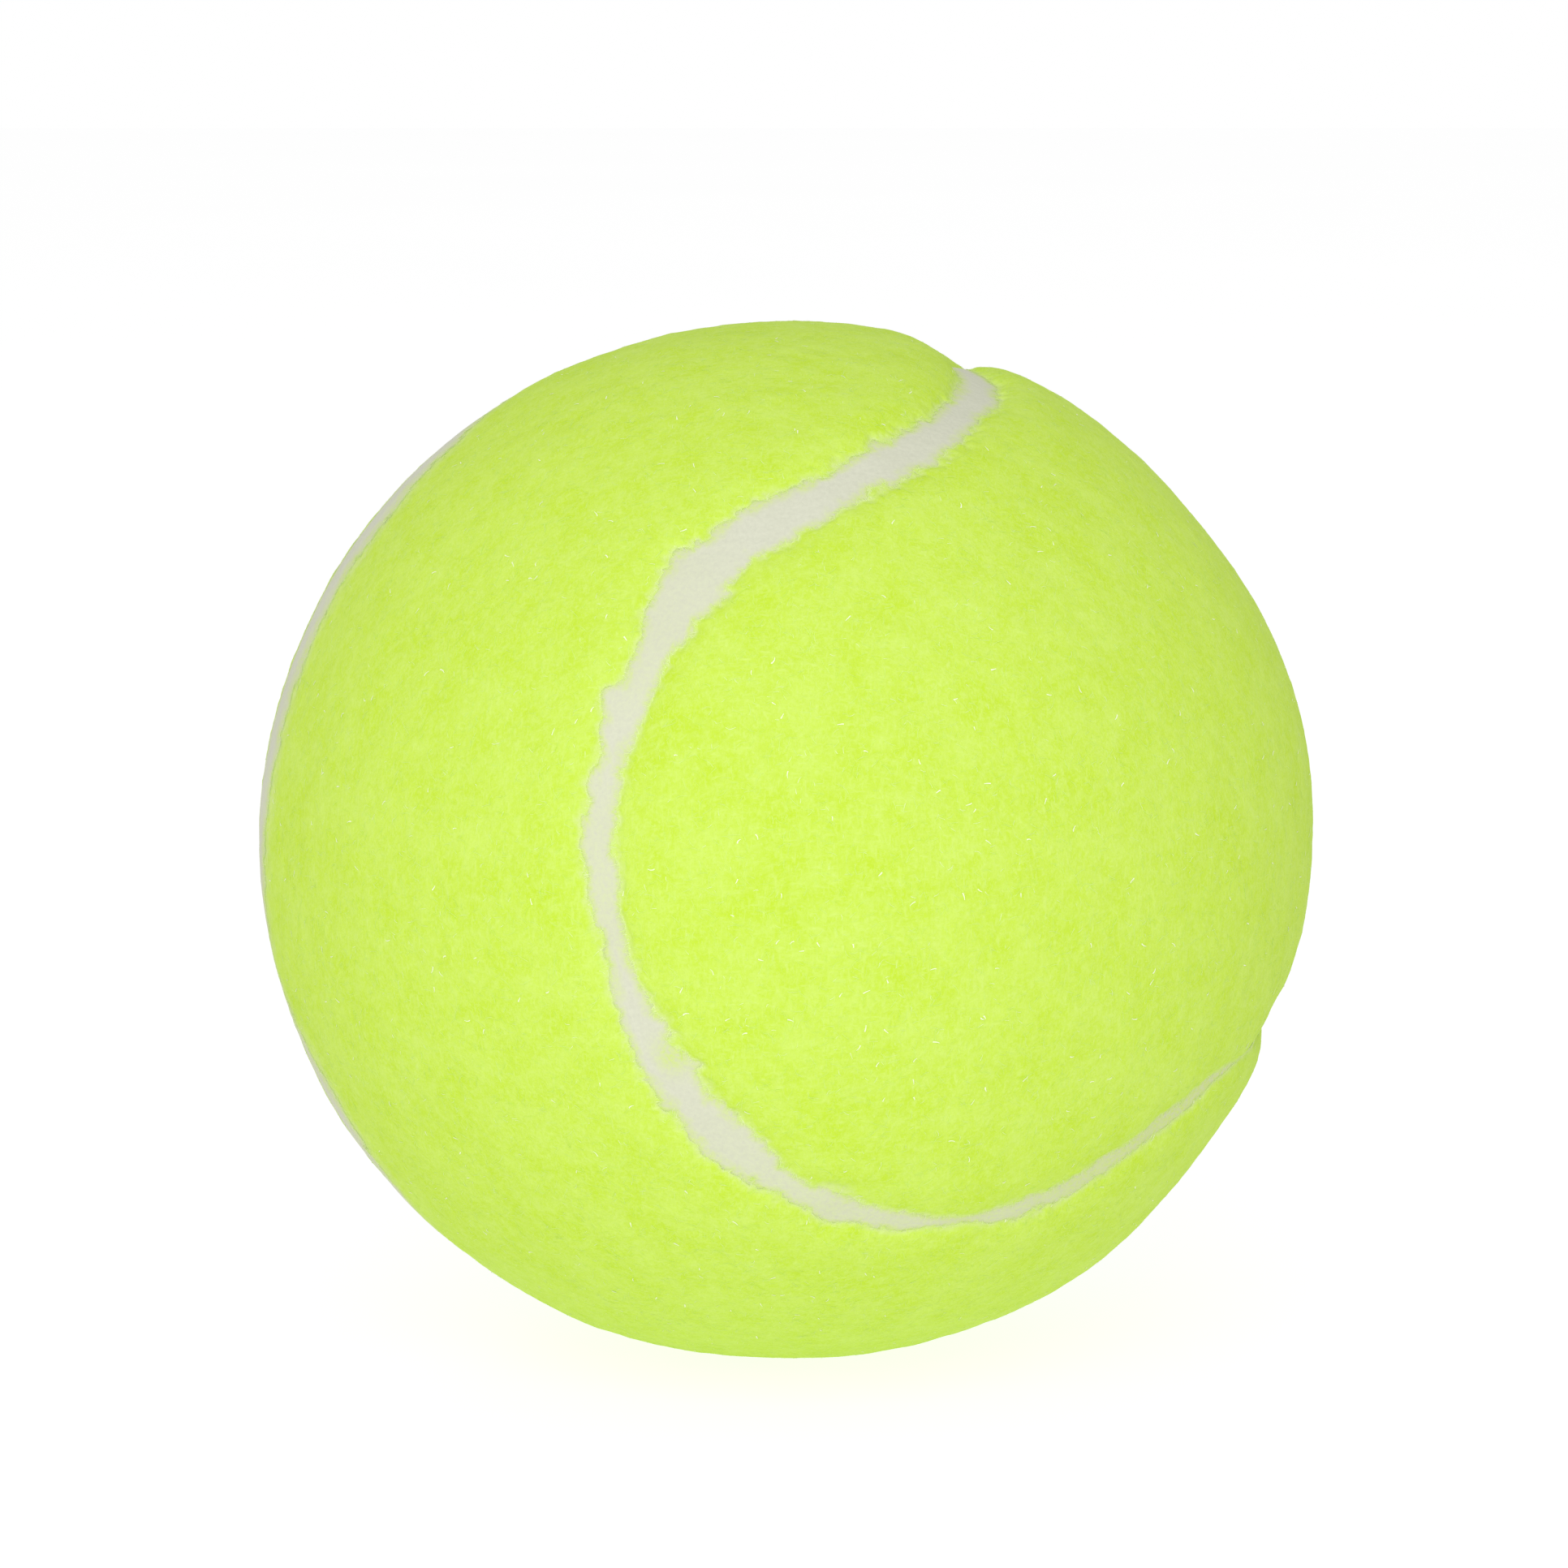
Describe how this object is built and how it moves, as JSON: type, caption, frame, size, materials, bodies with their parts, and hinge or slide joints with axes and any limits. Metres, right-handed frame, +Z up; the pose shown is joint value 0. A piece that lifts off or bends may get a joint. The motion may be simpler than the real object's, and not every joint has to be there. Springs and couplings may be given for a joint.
{
  "type": "tennis ball",
  "caption": "Felt-covered tennis ball with a hollow rubber core in cemented halves, dog-bone felt panels on a rubber backing, and a recessed pale cement seam between the panels.",
  "frame": {"origin": "middle of the ball", "axes": "+Z up as the ball lies in the picture, -Y towards the viewer, +X to the viewer's right"},
  "size_m": [0.066, 0.066, 0.066],
  "materials": {
    "felt": "short matt pile",
    "seam_cement": "matt",
    "backing": "matt",
    "cement": "satin",
    "core_rubber": "matt"
  },
  "bodies": {
    "root": {"core_half_upper": "core_rubber", "core_half_lower": "core_rubber", "core_joint_cement": "cement", "core_coat": "cement", "panel_backing_left": "backing", "panel_backing_right": "backing", "felt_panel_left": "felt", "felt_panel_right": "felt", "seam_cement": "seam_cement"}
  },
  "joints": []
}
